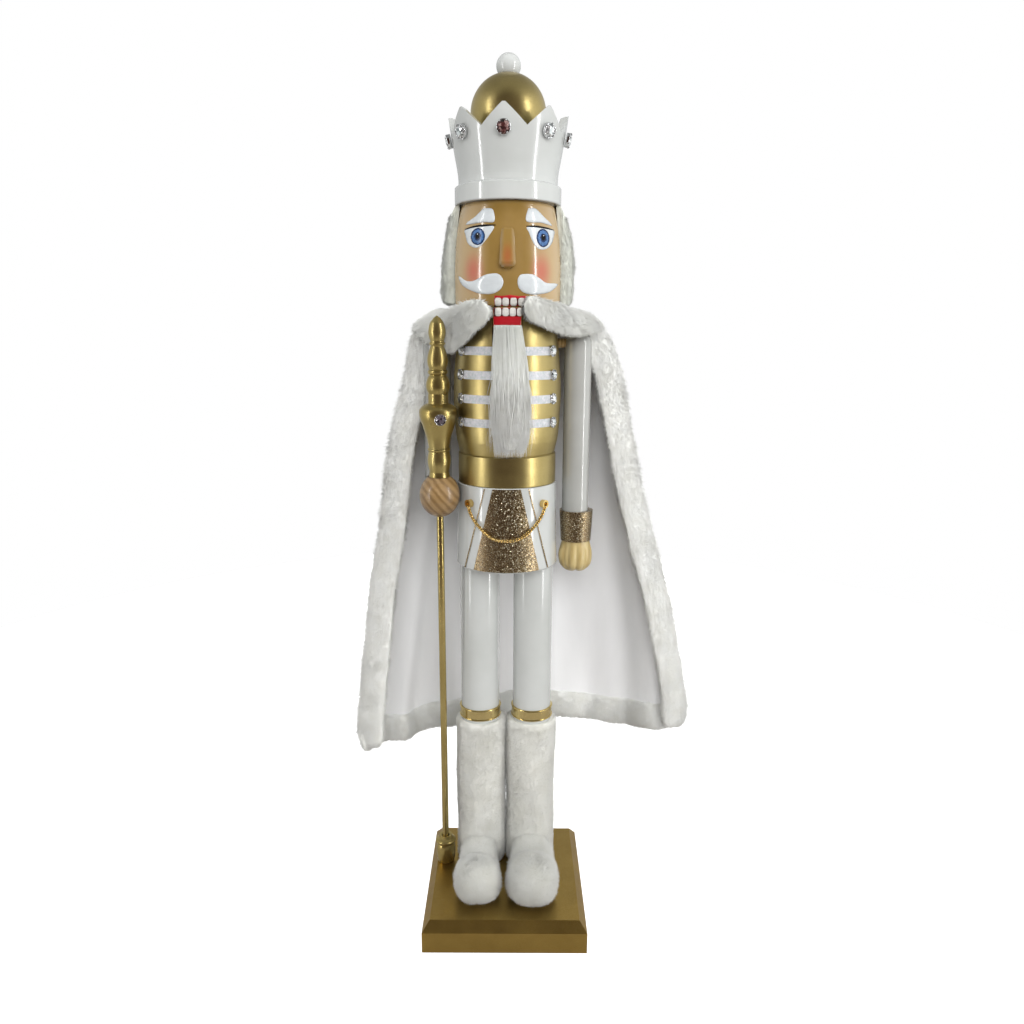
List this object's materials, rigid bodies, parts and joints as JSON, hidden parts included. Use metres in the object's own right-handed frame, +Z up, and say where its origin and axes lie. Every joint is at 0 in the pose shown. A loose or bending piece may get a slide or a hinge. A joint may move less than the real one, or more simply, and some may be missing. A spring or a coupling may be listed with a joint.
{
  "type": "standing nutcracker figure",
  "caption": "Turned wooden nutcracker king on a square base, with a lever-worked jaw, fur-trimmed cape, crown and a lift-out staff.",
  "frame": {"origin": "centre of the base's underside", "axes": "+Z up; the figure faces -Y; +X is to the right of someone facing it"},
  "size_m": [0.3877, 0.2224, 0.9137],
  "materials": {
    "gold_paint": "satin metallic gold lacquer over turned wood",
    "gold_glitter": "gold glitter flakes in clear varnish",
    "gold_ribbon": "metallic gold braid",
    "gold_metal": "polished gold-plated metal",
    "white_lacquer": "gloss white lacquer over turned wood",
    "skin_lacquer": "gloss skin-coloured lacquer over turned wood",
    "bare_wood": "clear-varnished light wood",
    "white_fur": "short-pile plush fur",
    "long_fur": "long-pile white fur",
    "cape_lining": "smooth satin lining and cloth",
    "white_braid": "iridescent white braid",
    "clear_jewel": "faceted clear stone in a silver setting",
    "dark_jewel": "faceted dark stone in a silver setting",
    "steel": "plain steel pin"
  },
  "bodies": {
    "figure": {"base": "gold_paint", "left_foot": "bare_wood", "right_foot": "bare_wood", "left_leg": "white_lacquer", "right_leg": "white_lacquer", "leg_dowels": "bare_wood", "left_boot_fur": "white_fur", "right_boot_fur": "white_fur", "left_toe_fur": "white_fur", "right_toe_fur": "white_fur", "left_boot_band": "gold_ribbon", "right_boot_band": "gold_ribbon", "hip_block": "white_lacquer", "skirt_panel": "gold_glitter", "skirt_edging": "gold_glitter", "chain": "gold_metal", "chain_eyelets": "gold_metal", "belt": "gold_paint", "waist_dowel": "bare_wood", "chest": "gold_paint", "chest_braid": "white_braid", "chest_jewels": "clear_jewel", "shoulder_dowels": "bare_wood", "neck_dowels": "bare_wood", "head": "skin_lacquer", "nose": "skin_lacquer", "hair": "white_fur", "crown": "white_lacquer", "crown_dowel": "bare_wood", "crown_jewels": "clear_jewel", "crown_dome": "gold_paint", "crown_ball": "white_lacquer", "hanging_sleeve": "white_lacquer", "hanging_cuff": "gold_glitter", "hanging_hand": "bare_wood", "staff_sleeve": "white_lacquer", "staff_cuff": "gold_glitter", "staff_hand": "bare_wood", "staff_ferrule": "gold_paint", "lever_pin": "steel", "cape": "cape_lining", "cape_collar": "white_fur", "cape_left_trim": "white_fur", "cape_right_trim": "white_fur", "cape_hem_trim": "white_fur"},
    "staff": {"staff_rod": "gold_paint", "staff_finial": "gold_paint", "staff_jewel": "dark_jewel"},
    "jaw": {"jaw_lever": "skin_lacquer"},
    "beard": {"beard": "long_fur"}
  },
  "joints": [
    {"name": "jaw_open", "type": "hinge", "parent": "figure", "child": "jaw", "pos_m": [0, 0.051, 0.66], "axis": [1, 0, 0], "range_deg": [0, 12]},
    {"name": "beard_hang", "type": "hinge", "parent": "jaw", "child": "beard", "pos_m": [0, -0.026, 0.652], "axis": [1, 0, 0], "range_deg": [-12, 0]},
    {"name": "staff_lift", "type": "slide", "parent": "figure", "child": "staff", "axis": [0, -0.0407, 0.9992], "range_m": [0, 0.04]}
  ],
  "couplings": [
    {"joint": "beard_hang", "follows": "jaw_open", "ratio": -1}
  ]
}
